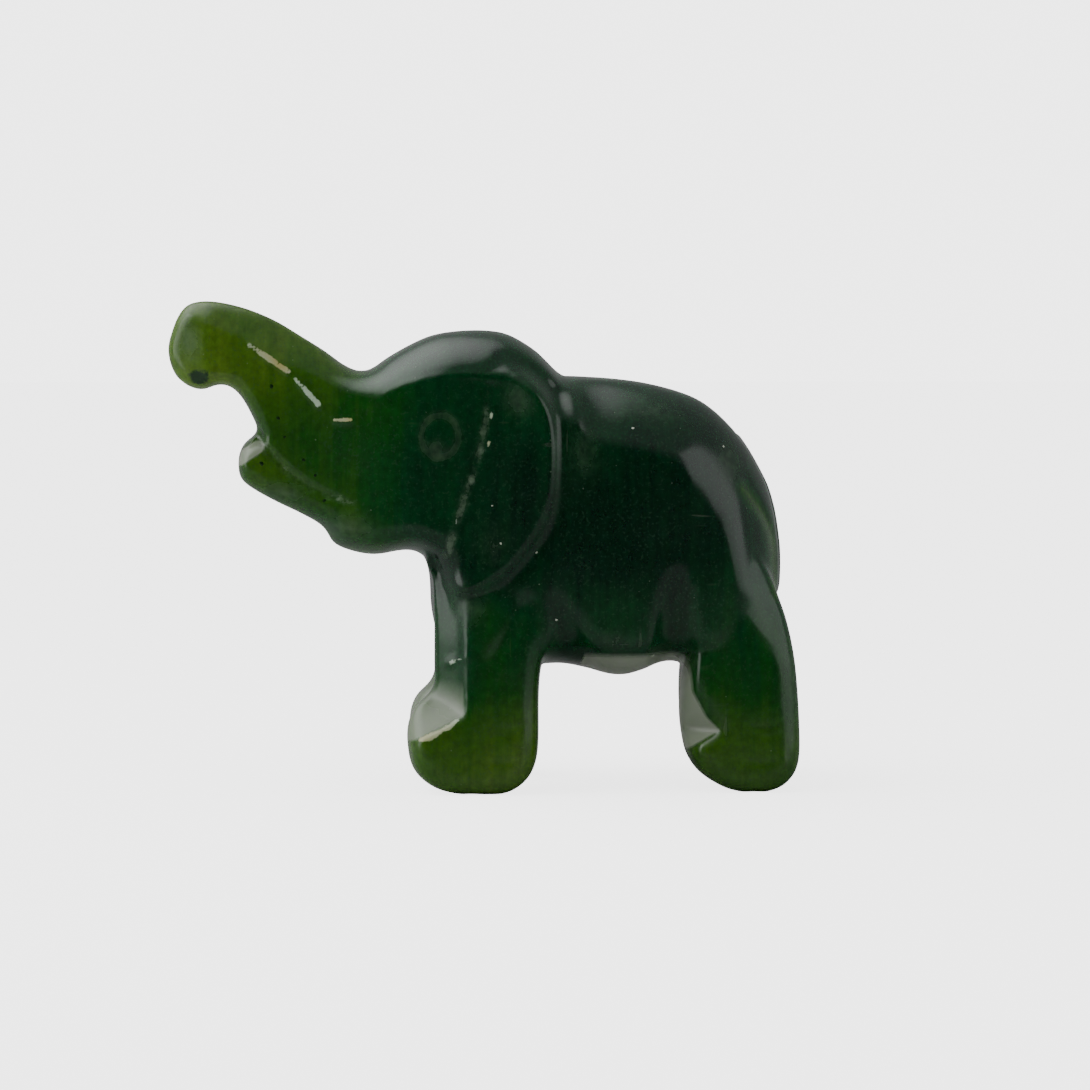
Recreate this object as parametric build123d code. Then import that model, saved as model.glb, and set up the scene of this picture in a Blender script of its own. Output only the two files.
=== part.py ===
"""Small carved elephant in nephrite jade, trunk raised, standing on four feet.

The carving is one piece of stone. It is ground from a sawn slab, so the side outline is
free-flowing while the two flanks stay nearly flat with broadly rounded edges. A slot sawn
along the belly parts the left legs from the right ones. The only other bodies are mineral
grains that grew in the stone: dark chromite grains and pale talc flecks, which lie almost
flush in the polished surface.

Frame: +Z up, the head towards -X, the animal's left side towards -Y. The origin is on the
ground at the middle of the bounding box. Millimetres.
"""

import os

from build123d import *

# Driving dimensions ------------------------------------------------------------------
TRUNK_REACH = 21.4  # chest to the foremost point of the trunk
BODY_LENGTH = 28.1  # chest to the back of the hind feet
BACK_HEIGHT = 32.7  # ground to the top of the back
BELLY_HEIGHT = 9.4  # ground to the lowest point of the belly
BODY_WIDTH = 20.0  # flank to flank
RUMP_INSET = 1.1  # how far the rump stays behind the back of the hind feet

CROWN_RISE = 3.7  # crown of the head above the back
HEAD_LENGTH = 17.0  # brow to the back of the crown
HEAD_WIDTH = 16.6  # cheek to cheek
THROAT_DROP = 13.8  # top of the back down to the underside of the chin

TRUNK_RISE = 2.35  # top of the raised trunk above the crown
TRUNK_WIDTH = 8.4
TRUNK_TIP_DEPTH = 6.6  # top to bottom of the trunk near its tip
TRUNK_ROOT_DEPTH = 10.0  # top to bottom of the trunk where it leaves the head

JAW_WIDTH = 7.0
JAW_REACH = 15.6  # chest to the tip of the lower lip
JAW_DEPTH = 3.6
LIP_DROP = 10.5  # crown of the head down to the middle of the lower lip

EAR_DROP = 3.0  # top of the ear below the crown
EAR_LENGTH = 17.2  # top of the ear to its lower tip
EAR_BREADTH = 6.0  # front edge to back rim near the top
EAR_BACK = 9.0  # chest to the back rim of the ear
EAR_THICKNESS = 1.4  # how far the ear stands out of the side of the head

FRONT_LEG_DEPTH = 7.9  # front to back of a front leg above its foot
HIND_LEG_DEPTH = 8.4
TOE_REACH = 2.4  # how far a front foot steps out ahead of its leg
TOE_HEIGHT = 6.6
LEG_SLOT_WIDTH = 5.4  # sawn slot between the left and right legs
FLANK_INSET = 0.4  # how far the legs stay inside the widest part of the flanks
SOLE_INSET = 1.5  # how far the sole stays inside the outline of its foot
HOOF_HEIGHT = 1.6  # height over which the foot rounds in to its sole

TAIL_WIDTH = 3.4
TAIL_RELIEF = 0.5  # how far the tail stands out of the rump
TAIL_LENGTH = 9.0

SCOOP_RADIUS = 4.0  # of the grinding wheel that hollows the flank above the belly
SCOOP_DEPTH = 2.4  # bottom of the hollow, inside the widest part of the flank
EYE_RADIUS = 1.75  # middle of the ring that the hollow drill leaves
EYE_GROOVE = 0.4  # wall of the hollow drill
EYE_DEPTH = 0.3
NOSTRIL_RADIUS = 0.6
NOSTRIL_DEPTH = 1.2

DARK_GRAIN_RADIUS = 0.26
PALE_FLECK_RADIUS = 0.2
GRAIN_PROUD = 0.04  # a grain stands a little out of the softer polished stone

# Lines that the forms share ----------------------------------------------------------
LENGTH = TRUNK_REACH + BODY_LENGTH
FRONT_X = -LENGTH / 2
CHEST_X = FRONT_X + TRUNK_REACH
REAR_X = LENGTH / 2
RUMP_X = REAR_X - RUMP_INSET
CROWN_Z = BACK_HEIGHT + CROWN_RISE
TRUNK_TOP_Z = CROWN_Z + TRUNK_RISE
THROAT_Z = BACK_HEIGHT - THROAT_DROP
BODY_HEIGHT = BACK_HEIGHT - BELLY_HEIGHT
HALF_BODY = BODY_WIDTH / 2
HALF_HEAD = HEAD_WIDTH / 2
HEAD_FRONT_X = CHEST_X + 9.5 - HEAD_LENGTH
HEAD_MIDDLE_X = HEAD_FRONT_X + HEAD_LENGTH / 2
EYE_X = HEAD_MIDDLE_X - 0.9
EYE_Z = CROWN_Z - 8.3
TIP_BEHIND = 1.8  # middle of the trunk's cut end, behind its foremost point
TIP_BELOW = 5.2  # middle of the trunk's cut end, below its highest point
TIP_CLIMB = -52  # degrees; the cut end looks down and forward


def cross_section(x, low, high, half_width, roundness=0.8):
    """A rounded upright section across the animal at one place along it."""
    height = high - low
    corner = min(half_width, height / 2) * roundness
    outline = RectangleRounded(height, 2 * half_width, corner)
    return Pos(x, 0, (low + high) / 2) * Rot(0, 90, 0) * outline


def level_section(z, front, back, inner, outer, roundness=0.7):
    """A rounded level section through one leg. It lies on the +Y side."""
    depth = back - front
    width = outer - inner
    corner = min(depth, width) / 2 * roundness
    outline = RectangleRounded(depth, width, corner)
    return Pos((front + back) / 2, (inner + outer) / 2, z) * outline


def both_sides(solid):
    """The solid and its mirror image across the animal's middle plane."""
    return [solid, mirror(solid, about=Plane.XZ)]


# Body --------------------------------------------------------------------------------
def make_torso():
    """The barrel of the body, from the chest to the rump."""
    barrel = RUMP_X - CHEST_X
    stations = [
        # share of the barrel, share of the height low and high, share of the half width
        (0.02, 0.18, 0.86, 0.80),
        (0.20, 0.05, 0.98, 0.94),
        (0.42, 0.01, 1.00, 0.99),
        (0.60, 0.00, 0.98, 1.00),
        (0.77, 0.05, 0.88, 0.97),
        (0.91, 0.13, 0.69, 0.86),
        (1.00, 0.26, 0.52, 0.58),
    ]
    sections = []
    for along, low, high, wide in stations:
        x = CHEST_X + along * barrel
        z_low = BELLY_HEIGHT + low * BODY_HEIGHT
        z_high = BELLY_HEIGHT + high * BODY_HEIGHT
        sections.append(cross_section(x, z_low, z_high, wide * HALF_BODY))
    return loft(sections)


def make_head():
    """The head, domed above and narrowing towards the root of the trunk."""
    height = CROWN_Z - THROAT_Z
    stations = [
        (0.00, 0.14, 0.80, 0.60),
        (0.18, 0.02, 0.86, 0.86),
        (0.42, 0.00, 0.97, 0.99),
        (0.66, 0.04, 1.00, 1.00),
        (0.88, 0.20, 0.94, 0.94),
        (1.00, 0.34, 0.82, 0.76),
    ]
    sections = []
    for along, low, high, wide in stations:
        x = HEAD_FRONT_X + along * HEAD_LENGTH
        z_low = THROAT_Z + low * height
        z_high = THROAT_Z + high * height
        sections.append(cross_section(x, z_low, z_high, wide * HALF_HEAD, 0.7))
    return loft(sections)


def make_trunk():
    """The raised trunk, swept up and forward with a blunt tip that turns down."""
    root = TRUNK_ROOT_DEPTH
    tip = TRUNK_TIP_DEPTH
    rings = [
        # place behind the front and below the top, climb in degrees, depth, width
        (15.5, 11.4, 42, root * 1.05, TRUNK_WIDTH * 1.45),
        (10.4, 7.5, 47, root * 0.86, TRUNK_WIDTH * 1.15),
        (7.6, 4.6, 34, tip * 0.99, TRUNK_WIDTH * 1.03),
        (4.7, 3.3, 2, tip, TRUNK_WIDTH),
        (2.9, 3.8, -30, tip * 0.95, TRUNK_WIDTH * 0.96),
        (TIP_BEHIND, TIP_BELOW, TIP_CLIMB, tip * 0.68, TRUNK_WIDTH * 0.88),
    ]
    sections = []
    for behind, below, climb, depth, width in rings:
        place = (FRONT_X + behind, 0, TRUNK_TOP_Z - below)
        along = Vector(-1, 0, 0).rotate(Axis.Y, climb)
        across = Vector(0, 0, 1).rotate(Axis.Y, climb)
        corner = min(depth, width) * 0.36
        outline = RectangleRounded(depth, width, corner)
        sections.append(Plane(origin=place, x_dir=across, z_dir=along) * outline)
    return loft(sections)


def make_jaw():
    """The open lower jaw, a rounded bar that reaches forward under the trunk."""
    tip_x = CHEST_X - JAW_REACH
    root_x = HEAD_MIDDLE_X
    lip_z = CROWN_Z - LIP_DROP
    root_z = THROAT_Z + JAW_DEPTH
    drop = lip_z - root_z
    stations = [
        # share of the reach, share of the drop, share of the depth, share of the width
        (0.00, 0.00, 0.60, 0.62),
        (0.10, 0.12, 1.00, 0.90),
        (0.42, 0.55, 1.50, 1.15),
        (1.00, 1.00, 1.95, 1.70),
    ]
    sections = []
    for along, fall, deep, wide in stations:
        x = tip_x + along * (root_x - tip_x)
        z = lip_z - fall * drop
        half_depth = deep * JAW_DEPTH / 2
        sections.append(cross_section(x, z - half_depth, z + half_depth, wide * JAW_WIDTH / 2))
    return loft(sections)


# Legs --------------------------------------------------------------------------------
def make_leg(rings):
    """One leg on the +Y side, lofted up from its sole into the body."""
    inner = LEG_SLOT_WIDTH / 2
    sections = []
    for z, front, back, inner_inset, outer in rings:
        sections.append(level_section(z, front, back, inner + inner_inset, outer))
    return loft(sections)


def make_front_leg():
    """A front leg: a straight column over a foot that steps forward."""
    back = CHEST_X + FRONT_LEG_DEPTH
    toe = CHEST_X - TOE_REACH
    outer = HALF_BODY - FLANK_INSET
    return make_leg([
        # height, front, back, inset of the inner side, outer side
        (0, toe + SOLE_INSET, back - SOLE_INSET * 0.5, 0.5, outer - SOLE_INSET * 0.6),
        (HOOF_HEIGHT, toe + 0.2, back - 0.1, 0, outer - 0.2),
        (TOE_HEIGHT * 0.8, toe, back, 0, outer),
        (TOE_HEIGHT * 1.3, CHEST_X - TOE_REACH * 0.3, back, 0, outer),
        (TOE_HEIGHT * 1.7, CHEST_X, back + 0.2, 0, outer),
        (THROAT_Z - 2, CHEST_X + 0.2, back + 1, 0, outer),
        (THROAT_Z + 4, CHEST_X + 2, back, 0, outer - 1.5),
    ])


def make_hind_leg():
    """A hind leg: a broad column that leans back a little towards its foot."""
    back = REAR_X
    front = REAR_X - HIND_LEG_DEPTH
    outer = HALF_BODY - FLANK_INSET
    thigh_z = BELLY_HEIGHT + 5
    return make_leg([
        # height, front, back, inset of the inner side, outer side
        (0, front + SOLE_INSET, back - SOLE_INSET, 0.5, outer - SOLE_INSET * 0.6),
        (HOOF_HEIGHT, front + 0.5, back - 0.4, 0, outer - 0.2),
        (TOE_HEIGHT * 0.75, front, back, 0, outer),
        (BELLY_HEIGHT, front, back - 0.3, 0, outer),
        (thigh_z, front + 0.3, back - RUMP_INSET * 0.9, 0, outer),
        (thigh_z + 6, front + 1.5, RUMP_X - 1.5, 0, outer - 1.5),
    ])


# Raised and cut details ----------------------------------------------------------------
def make_ear():
    """An ear on the +Y side: a broad flap in relief that hangs from the crown."""
    top_z = CROWN_Z - EAR_DROP
    back_x = CHEST_X + EAR_BACK
    front_x = back_x - EAR_BREADTH
    outline = Spline(
        (back_x - EAR_BREADTH * 0.55, top_z),
        (back_x - EAR_BREADTH * 0.10, top_z - EAR_LENGTH * 0.13),
        (back_x, top_z - EAR_LENGTH * 0.42),
        (back_x - EAR_BREADTH * 0.17, top_z - EAR_LENGTH * 0.74),
        (back_x - EAR_BREADTH * 0.85, top_z - EAR_LENGTH * 0.97),
        (front_x - EAR_BREADTH * 0.37, top_z - EAR_LENGTH * 0.88),
        (front_x - EAR_BREADTH * 0.10, top_z - EAR_LENGTH * 0.52),
        (front_x + EAR_BREADTH * 0.10, top_z - EAR_LENGTH * 0.17),
        periodic=True,
    )
    flap = extrude(Plane.XZ * make_face(outline), amount=-BODY_WIDTH)
    # The ear follows the rounding of the crown, EAR_THICKNESS outside the head.
    height = top_z - THROAT_Z / 2
    swell = RectangleRounded(height, 2 * (HALF_HEAD + EAR_THICKNESS), HALF_HEAD * 0.7)
    middle = Plane(origin=(front_x - EAR_BREADTH, 0, top_z - height / 2), z_dir=(1, 0, 0), x_dir=(0, 0, 1))
    envelope = extrude(middle * swell, amount=EAR_BREADTH * 3)
    return flap & envelope


def make_tail():
    """The tail, a raised band that hangs down the middle of the rump."""
    top_z = BACK_HEIGHT - 7.5
    band = Pos(0, 0, top_z - TAIL_LENGTH / 2) * Box(2 * LENGTH, TAIL_WIDTH, TAIL_LENGTH)
    band = fillet(band.edges().filter_by(Axis.X), TAIL_WIDTH * 0.4)
    rump = Pos(TAIL_RELIEF, 0, 0) * make_torso()
    behind = Pos(RUMP_X, 0, BACK_HEIGHT / 2) * Box(BODY_LENGTH * 0.4, BODY_WIDTH, BACK_HEIGHT)
    return rump & band & behind


def flank_point(stone, x, z):
    """Where a level line from the left side first meets the stone, and which way is out."""
    sight_line = Axis((x, -BODY_WIDTH, z), (0, 1, 0))
    hits = stone.find_intersection_points(sight_line)
    return min(hits, key=lambda hit: hit[0].Y)


def make_eye_groove(stone):
    """The ring that a hollow drill leaves around the left eye."""
    surface, _ = flank_point(stone, EYE_X, EYE_Z)
    ring = Cylinder(EYE_RADIUS + EYE_GROOVE / 2, 2 * EYE_DEPTH)
    ring -= Cylinder(EYE_RADIUS - EYE_GROOVE / 2, 2 * EYE_DEPTH)
    return Pos(*surface) * Rot(90, 0, 0) * ring


def make_nostril():
    """One nostril on the +Y side, drilled into the cut end of the trunk."""
    along = Vector(-1, 0, 0).rotate(Axis.Y, TIP_CLIMB)
    mouth = (FRONT_X + TIP_BEHIND, TRUNK_WIDTH * 0.2, TRUNK_TOP_Z - TIP_BELOW)
    return Plane(origin=mouth, z_dir=along) * Cylinder(NOSTRIL_RADIUS, 2 * NOSTRIL_DEPTH)


def make_scoops():
    """Shallow wheel cuts on the +Y flank, behind the front leg and before the thigh."""
    front = CHEST_X + FRONT_LEG_DEPTH + SCOOP_RADIUS * 0.75
    hind = REAR_X - HIND_LEG_DEPTH - SCOOP_RADIUS * 0.2
    z = BELLY_HEIGHT + SCOOP_RADIUS * 0.8
    y = HALF_BODY - SCOOP_DEPTH + SCOOP_RADIUS
    scoops = []
    for x in (front, hind):
        scoops.append(Pos(x, y, z) * Sphere(SCOOP_RADIUS))
    return scoops


# Stone ---------------------------------------------------------------------------------
def make_stone():
    """The whole carving as one solid, before the mineral grains are let in."""
    stone = make_torso() + make_head() + make_trunk() + make_jaw()
    for one_side in (make_front_leg(), make_hind_leg(), make_ear()):
        for form in both_sides(one_side):
            stone += form
    stone += make_tail()
    for one_side in make_scoops():
        for cut in both_sides(one_side):
            stone -= cut
    for cut in both_sides(make_eye_groove(stone)):
        stone -= cut
    for cut in both_sides(make_nostril()):
        stone -= cut
    return stone


# Mineral grains --------------------------------------------------------------------------
DARK_GRAINS = [
    (FRONT_X + 8.2, TRUNK_TOP_Z - 6.8),
    (FRONT_X + 8.7, TRUNK_TOP_Z - 9.2),
    (FRONT_X + 10.7, TRUNK_TOP_Z - 12.3),
    (CHEST_X - JAW_REACH + 1.7, CROWN_Z - LIP_DROP),
    (CHEST_X - JAW_REACH + 4.4, CROWN_Z - LIP_DROP - 1.9),
    (HEAD_FRONT_X - 2.0, CROWN_Z - 11.3),
]
PALE_FLECKS = [
    (CHEST_X + BODY_LENGTH * 0.536, BELLY_HEIGHT + BODY_HEIGHT * 0.828),
    (CHEST_X + BODY_LENGTH * 0.797, BELLY_HEIGHT + BODY_HEIGHT * 0.764),
    (CHEST_X + 4.7, THROAT_Z + 0.9),
    (CHEST_X + 7.5, THROAT_Z + 0.1),
    (CHEST_X + 4.0, THROAT_Z + 3.8),
    (CHEST_X + FRONT_LEG_DEPTH + 1.1, BELLY_HEIGHT + BODY_HEIGHT * 0.185),
    (CHEST_X + BODY_LENGTH * 0.596, BELLY_HEIGHT + BODY_HEIGHT * 0.064),
]


def make_grains(stone, places, radius):
    """Round grains let into the left flank, each a little proud of the surface."""
    grains = []
    for x, z in places:
        surface, outward = flank_point(stone, x, z)
        middle = surface - outward * (radius - GRAIN_PROUD)
        grains.append(Plane(origin=middle, z_dir=outward) * Sphere(radius))
    return grains


def main():
    """Build the three nodes and write them."""
    stone = make_stone()
    dark = make_grains(stone, DARK_GRAINS, DARK_GRAIN_RADIUS)
    pale = make_grains(stone, PALE_FLECKS, PALE_FLECK_RADIUS)
    stone -= dark + pale
    nodes = {
        "carved_stone": stone,
        "dark_grains": Compound(children=dark),
        "pale_flecks": Compound(children=pale),
    }
    os.makedirs("parts", exist_ok=True)
    for name, shape in nodes.items():
        export_step(shape, f"parts/{name}.step")
        print(name, len(shape.solids()), round(shape.volume, 2))


main()
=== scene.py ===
import math
import random

import bmesh
import bpy
import numpy as np
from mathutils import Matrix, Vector
from mathutils.bvhtree import BVHTree


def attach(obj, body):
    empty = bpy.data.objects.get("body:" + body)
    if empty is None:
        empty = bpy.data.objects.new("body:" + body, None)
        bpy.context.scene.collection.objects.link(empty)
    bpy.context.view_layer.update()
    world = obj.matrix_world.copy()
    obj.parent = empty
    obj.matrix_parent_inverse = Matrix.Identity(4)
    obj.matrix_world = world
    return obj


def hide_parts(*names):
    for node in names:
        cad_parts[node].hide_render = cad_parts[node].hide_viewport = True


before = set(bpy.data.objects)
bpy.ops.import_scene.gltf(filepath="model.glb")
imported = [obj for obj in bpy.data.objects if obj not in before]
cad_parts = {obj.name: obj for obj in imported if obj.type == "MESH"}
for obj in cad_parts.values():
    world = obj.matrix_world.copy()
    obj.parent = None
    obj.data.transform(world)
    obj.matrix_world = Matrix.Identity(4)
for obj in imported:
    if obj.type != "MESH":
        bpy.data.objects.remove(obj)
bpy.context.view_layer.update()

# ---------------------------------------------------------------------------------------
# The carved stone: the whole elephant, ground from one sawn slab of dark green nephrite.
# The blank is sawn to the side outline, its flanks are ground in towards the edges, the
# legs are sawn apart, and wheels then cut the ears, the eyes and the folds.
# ---------------------------------------------------------------------------------------
MM = 0.001
SLAB_HALF = 10.0  # half the thickness of the sawn slab

# Side outline of the head and body: place along X, height, width of the ground edge.
BLANK_OUTLINE = [
    (-24.68, 34.7, 0.35), (-24.45, 36.0, 0.35), (-23.85, 37.55, 0.5), (-23.0, 38.5, 1.0),
    (-21.6, 38.74, 2.0), (-19.9, 38.52, 2.5), (-18.0, 37.98, 2.7), (-16.0, 37.1, 2.7),
    (-14.2, 36.0, 2.7), (-12.2, 34.75, 2.2), (-10.7, 33.65, 1.9), (-9.4, 33.15, 1.8),
    (-8.3, 33.35, 2.1), (-7.3, 34.1, 2.7), (-5.5, 35.15, 3.2), (-3.6, 36.0, 3.3),
    (-1.7, 36.35, 3.4), (0.3, 36.43, 3.4), (2.2, 36.15, 3.2), (4.1, 35.1, 2.8),
    (5.15, 34.2, 2.4), (6.05, 33.25, 2.2), (6.7, 32.75, 3.2), (7.6, 32.75, 4.8),
    (9.0, 32.68, 5.8), (11.0, 32.55, 6.0), (13.2, 32.25, 6.0), (15.8, 31.6, 6.0),
    (17.8, 30.75, 6.0), (19.6, 29.3, 6.0), (21.4, 27.2, 5.8), (22.7, 24.9, 5.5),
    (23.3, 23.4, 5.2), (23.8, 21.3, 5.0), (24.1, 18.7, 4.6), (24.1, 16.6, 4.0),
    (23.9, 15.0, 3.0), (23.4, 13.6, 2.6), (22.3, 12.0, 2.4), (20.0, 10.4, 2.2),
    (17.0, 9.85, 2.2), (15.2, 9.95, 2.2), (14.2, 9.75, 2.4), (13.2, 9.35, 2.6),
    (12.5, 9.15, 2.8), (11.6, 8.9, 3.0), (10.4, 8.95, 3.0), (8.5, 9.45, 2.8),
    (6.5, 9.8, 2.4), (4.7, 9.8, 2.2), (0.0, 10.3, 2.2), (-2.6, 11.2, 2.2),
    (-3.5, 13.5, 2.2), (-3.7, 16.5, 2.2), (-4.1, 18.1, 2.0), (-4.8, 18.75, 1.8),
    (-5.6, 18.95, 1.8), (-6.6, 18.85, 1.8), (-8.4, 18.55, 1.8), (-10.3, 18.9, 1.8),
    (-11.65, 19.55, 1.4), (-12.1, 20.45, 1.2), (-12.6, 21.0, 1.0), (-14.2, 21.9, 0.9),
    (-16.1, 22.8, 0.8), (-18.0, 23.85, 0.7), (-18.95, 24.65, 0.6), (-19.15, 25.65, 0.5),
    (-19.05, 26.5, 0.5), (-18.65, 27.35, 0.5), (-17.95, 27.85, 0.5), (-17.3, 27.7, 0.5),
    (-17.5, 28.4, 0.5), (-18.0, 29.6, 0.5), (-18.9, 31.2, 0.5), (-19.75, 31.98, 0.5),
    (-20.8, 32.12, 0.5), (-21.8, 31.7, 0.6), (-23.0, 31.95, 0.5), (-24.15, 32.95, 0.4),
]
# The same for a front leg and a hind leg.
FRONT_LEG_OUTLINE = [
    (-4.3, 18.7, 1.6), (-3.85, 16.8, 1.0), (-3.75, 14.0, 0.9), (-3.75, 11.0, 0.9),
    (-3.75, 9.6, 0.9), (-3.75, 8.4, 0.8), (-4.35, 7.45, 0.7), (-5.3, 6.6, 0.7),
    (-5.85, 5.3, 0.7), (-5.9, 3.8, 0.7), (-5.5, 1.9, 0.7), (-4.3, 0.65, 0.7),
    (-2.6, 0.05, 0.7), (-1.0, 0.0, 0.6), (1.6, 0.0, 0.7), (3.0, 0.55, 0.8),
    (4.0, 1.7, 1.0), (4.45, 3.6, 1.3), (4.5, 7.6, 1.4), (4.7, 10.0, 1.5),
    (5.4, 12.8, 2.2), (5.6, 16.0, 2.4), (4.0, 19.5, 2.4), (-1.0, 21.0, 2.4),
]
HIND_LEG_OUTLINE = [
    (16.7, 15.0, 1.6), (16.45, 12.2, 1.1), (16.1, 10.4, 0.8), (15.85, 8.8, 0.7),
    (15.75, 7.3, 0.7), (15.75, 5.8, 0.7), (15.95, 4.2, 0.7), (16.3, 2.8, 0.7),
    (17.2, 1.45, 0.7), (18.6, 0.5, 0.7), (20.2, 0.0, 0.7), (21.4, 0.0, 0.6),
    (22.8, 0.0, 0.7), (24.1, 0.55, 0.8), (25.0, 1.7, 1.0), (25.25, 3.1, 1.4),
    (25.25, 4.4, 1.6), (25.15, 7.0, 1.8), (24.9, 10.0, 2.0), (24.45, 12.6, 2.2),
    (23.8, 14.8, 2.4), (22.4, 18.0, 3.0), (19.8, 19.8, 3.0), (17.4, 18.4, 2.6),
]
# The tail hangs down the middle of the rump as a raised band.
TAIL_OUTLINE = [
    (20.6, 28.3, 1.0), (21.75, 27.2, 1.0), (23.05, 24.95, 1.0), (23.7, 23.5, 1.0),
    (24.25, 21.3, 1.0), (24.55, 18.7, 1.0), (24.55, 16.6, 1.0), (24.35, 15.2, 0.8),
    (23.7, 14.8, 0.8), (22.6, 16.0, 1.0), (22.0, 20.0, 1.0), (20.0, 25.0, 1.0),
]
TAIL_HALF = 1.7
LEG_INNER = 2.7  # inner side of each leg, from the middle plane
LEG_OUTER = 9.55
LEG_SPLAY = 0.055  # the outer faces lean in as they rise
SPLAY_HEIGHT = 7.0  # height at which a leg has its set width
LEG_NOSE = 0.5  # how far the front and back of a leg curve away at its two sides
LEG_LEAST = 0.1  # share of a leg's half thickness that its facets never cut into
# Share of the thickness that the wheel leaves at the rim of each part.
FLANK_RIM = 0.35
LEG_RIM = 0.75
TAIL_RIM = 0.5
TRUNK_SQUARER = 0.3  # how much more the trunk's rim has than the flank's
# How full a ground edge curves: 1 is a straight bevel and 2 a round edge.
EDGE_FULLNESS = 1.7
TRUNK_STRAIGHTER = 0.4  # how much less the trunk's edges have


def flowing_line(points, closed=True, steps=6):
    """Points along a smooth line that passes through each of the given points."""
    knots = np.array(points, float)
    if closed:
        knots = np.vstack([knots[-1:], knots, knots[:2]])
    else:
        knots = np.vstack([2 * knots[:1] - knots[1:2], knots, 2 * knots[-1:] - knots[-2:-1]])
    out = []
    for a, b, c, d in zip(knots[:-3], knots[1:-2], knots[2:-1], knots[3:]):
        for t in np.arange(steps) / steps:
            out.append(
                0.5 * (2 * b + (c - a) * t + (2 * a - 5 * b + 4 * c - d) * t * t
                       + (3 * b - a - 3 * c + d) * t ** 3)
            )
    if not closed:
        out.append(knots[-2])
    return np.array(out)


def step(low, high, value):
    """Rises smoothly from 0 to 1 between low and high."""
    t = np.clip((value - low) / (high - low), 0.0, 1.0)
    return t * t * (3 - 2 * t)


def nearest_on(line, x, z, closed=False):
    """Distance from each (x, z) to a line, and the line's other values at that place."""
    starts = line if closed else line[:-1]
    ends = np.roll(line, -1, axis=0) if closed else line[1:]
    best = np.full(len(x), 1e9)
    values = np.zeros((len(x), line.shape[1]))
    for a, b in zip(starts, ends):
        run = b[:2] - a[:2]
        share = ((x - a[0]) * run[0] + (z - a[1]) * run[1]) / max(run @ run, 1e-12)
        share = np.clip(share, 0.0, 1.0)
        gap = np.hypot(x - a[0] - share * run[0], z - a[1] - share * run[1])
        closer = gap < best
        best[closer] = gap[closer]
        values[closer] = a + share[closer, None] * (b - a)
    return best, values


def inside(line, x, z):
    """True where (x, z) lies inside a closed line."""
    hit = np.zeros(len(x), bool)
    for a, b in zip(line, np.roll(line, -1, axis=0)):
        crosses = (a[1] > z) != (b[1] > z)
        rise = b[1] - a[1] if b[1] != a[1] else 1e-9
        hit ^= crosses & (x < (b[0] - a[0]) * (z - a[1]) / rise + a[0])
    return hit


def sawn_plate(outline, half):
    """A plate with square edges, sawn to the outline, half its thickness each side."""
    bm = bmesh.new()
    rim = [bm.verts.new((x, -half, z)) for x, z, _ in outline]
    face = bm.faces.new(rim)
    out = bmesh.ops.extrude_face_region(bm, geom=[face])
    moved = [v for v in out["geom"] if isinstance(v, bmesh.types.BMVert)]
    bmesh.ops.translate(bm, verts=moved, vec=(0, 2 * half, 0))
    bmesh.ops.recalc_face_normals(bm, faces=bm.faces)
    return bm


def as_object(bm, name):
    """A bmesh made into an object in the scene."""
    mesh = bpy.data.meshes.new(name)
    bm.to_mesh(mesh)
    bm.free()
    obj = bpy.data.objects.new(name, mesh)
    bpy.context.scene.collection.objects.link(obj)
    return obj


def reground(bm, grit):
    """The same solid with an even skin of small faces, grit across."""
    obj = as_object(bm, "blank")
    skin = obj.modifiers.new("skin", "REMESH")
    skin.mode = "VOXEL"
    skin.voxel_size = grit
    bpy.context.view_layer.update()
    ready = obj.evaluated_get(bpy.context.evaluated_depsgraph_get())
    mesh = bpy.data.meshes.new_from_object(ready)
    bpy.data.objects.remove(obj)
    bm = bmesh.new()
    bm.from_mesh(mesh)
    bpy.data.meshes.remove(mesh)
    return bm


def read_points(bm):
    """Every vertex of a bmesh as an array."""
    return np.array([v.co[:] for v in bm.verts])


def write_points(bm, points):
    """Puts the array back on the bmesh."""
    for v, p in zip(bm.verts, points):
        v.co = p


def edge_profile(depth_in, width, flat, fullness=EDGE_FULLNESS):
    """Share of the full thickness near a ground edge, from its rim to the whole flank."""
    t = np.clip(depth_in / width, 0.0, 1.0)
    return flat + (1 - flat) * (1 - (1 - t) ** fullness) ** (1 / fullness)


def groove(line, x, z, width):
    """1 on a line and falling smoothly to 0 away from it, with the line's other values."""
    gap, at = nearest_on(line, x, z)
    return np.exp(-((gap / width) ** 2)), at


def above_line(line, x, z):
    """Distance from a straight line that runs to the right, positive above it."""
    (x0, z0), (x1, z1) = line
    return ((z - z0) * (x1 - x0) - (x - x0) * (z1 - z0)) / math.hypot(x1 - x0, z1 - z0)


# Half the thickness of the flank, by place along X.
FLANK_WIDTHS = (
    (-25.0, 3.9), (-20.0, 4.3), (-16.0, 4.9), (-12.5, 5.8), (-10.0, 6.7), (-7.5, 7.6),
    (-5.0, 8.2), (-2.0, 8.45), (1.0, 8.6), (4.0, 9.0), (7.0, 9.55), (11.0, 9.85),
    (16.0, 9.8), (20.0, 9.2), (23.0, 8.4), (26.0, 7.4),
)
# Middle line, half width and depth of the tapering wheel cuts behind the front leg and
# before the thigh, each from its top down. They leave the belly proud.
WHEEL_CUTS = (
    ((5.3, 16.0, 0.2, 0.0), (5.9, 14.2, 0.9, 0.5), (6.6, 12.0, 1.7, 1.3), (7.1, 9.0, 2.5, 2.2)),
    ((15.2, 17.8, 0.5, 0.0), (15.0, 15.6, 1.3, 0.6), (15.0, 12.4, 1.9, 1.5), (15.2, 9.0, 2.2, 2.3)),
)
LEAST_REACH = 0.05  # a cut that starts narrower than this is taken as this wide
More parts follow.
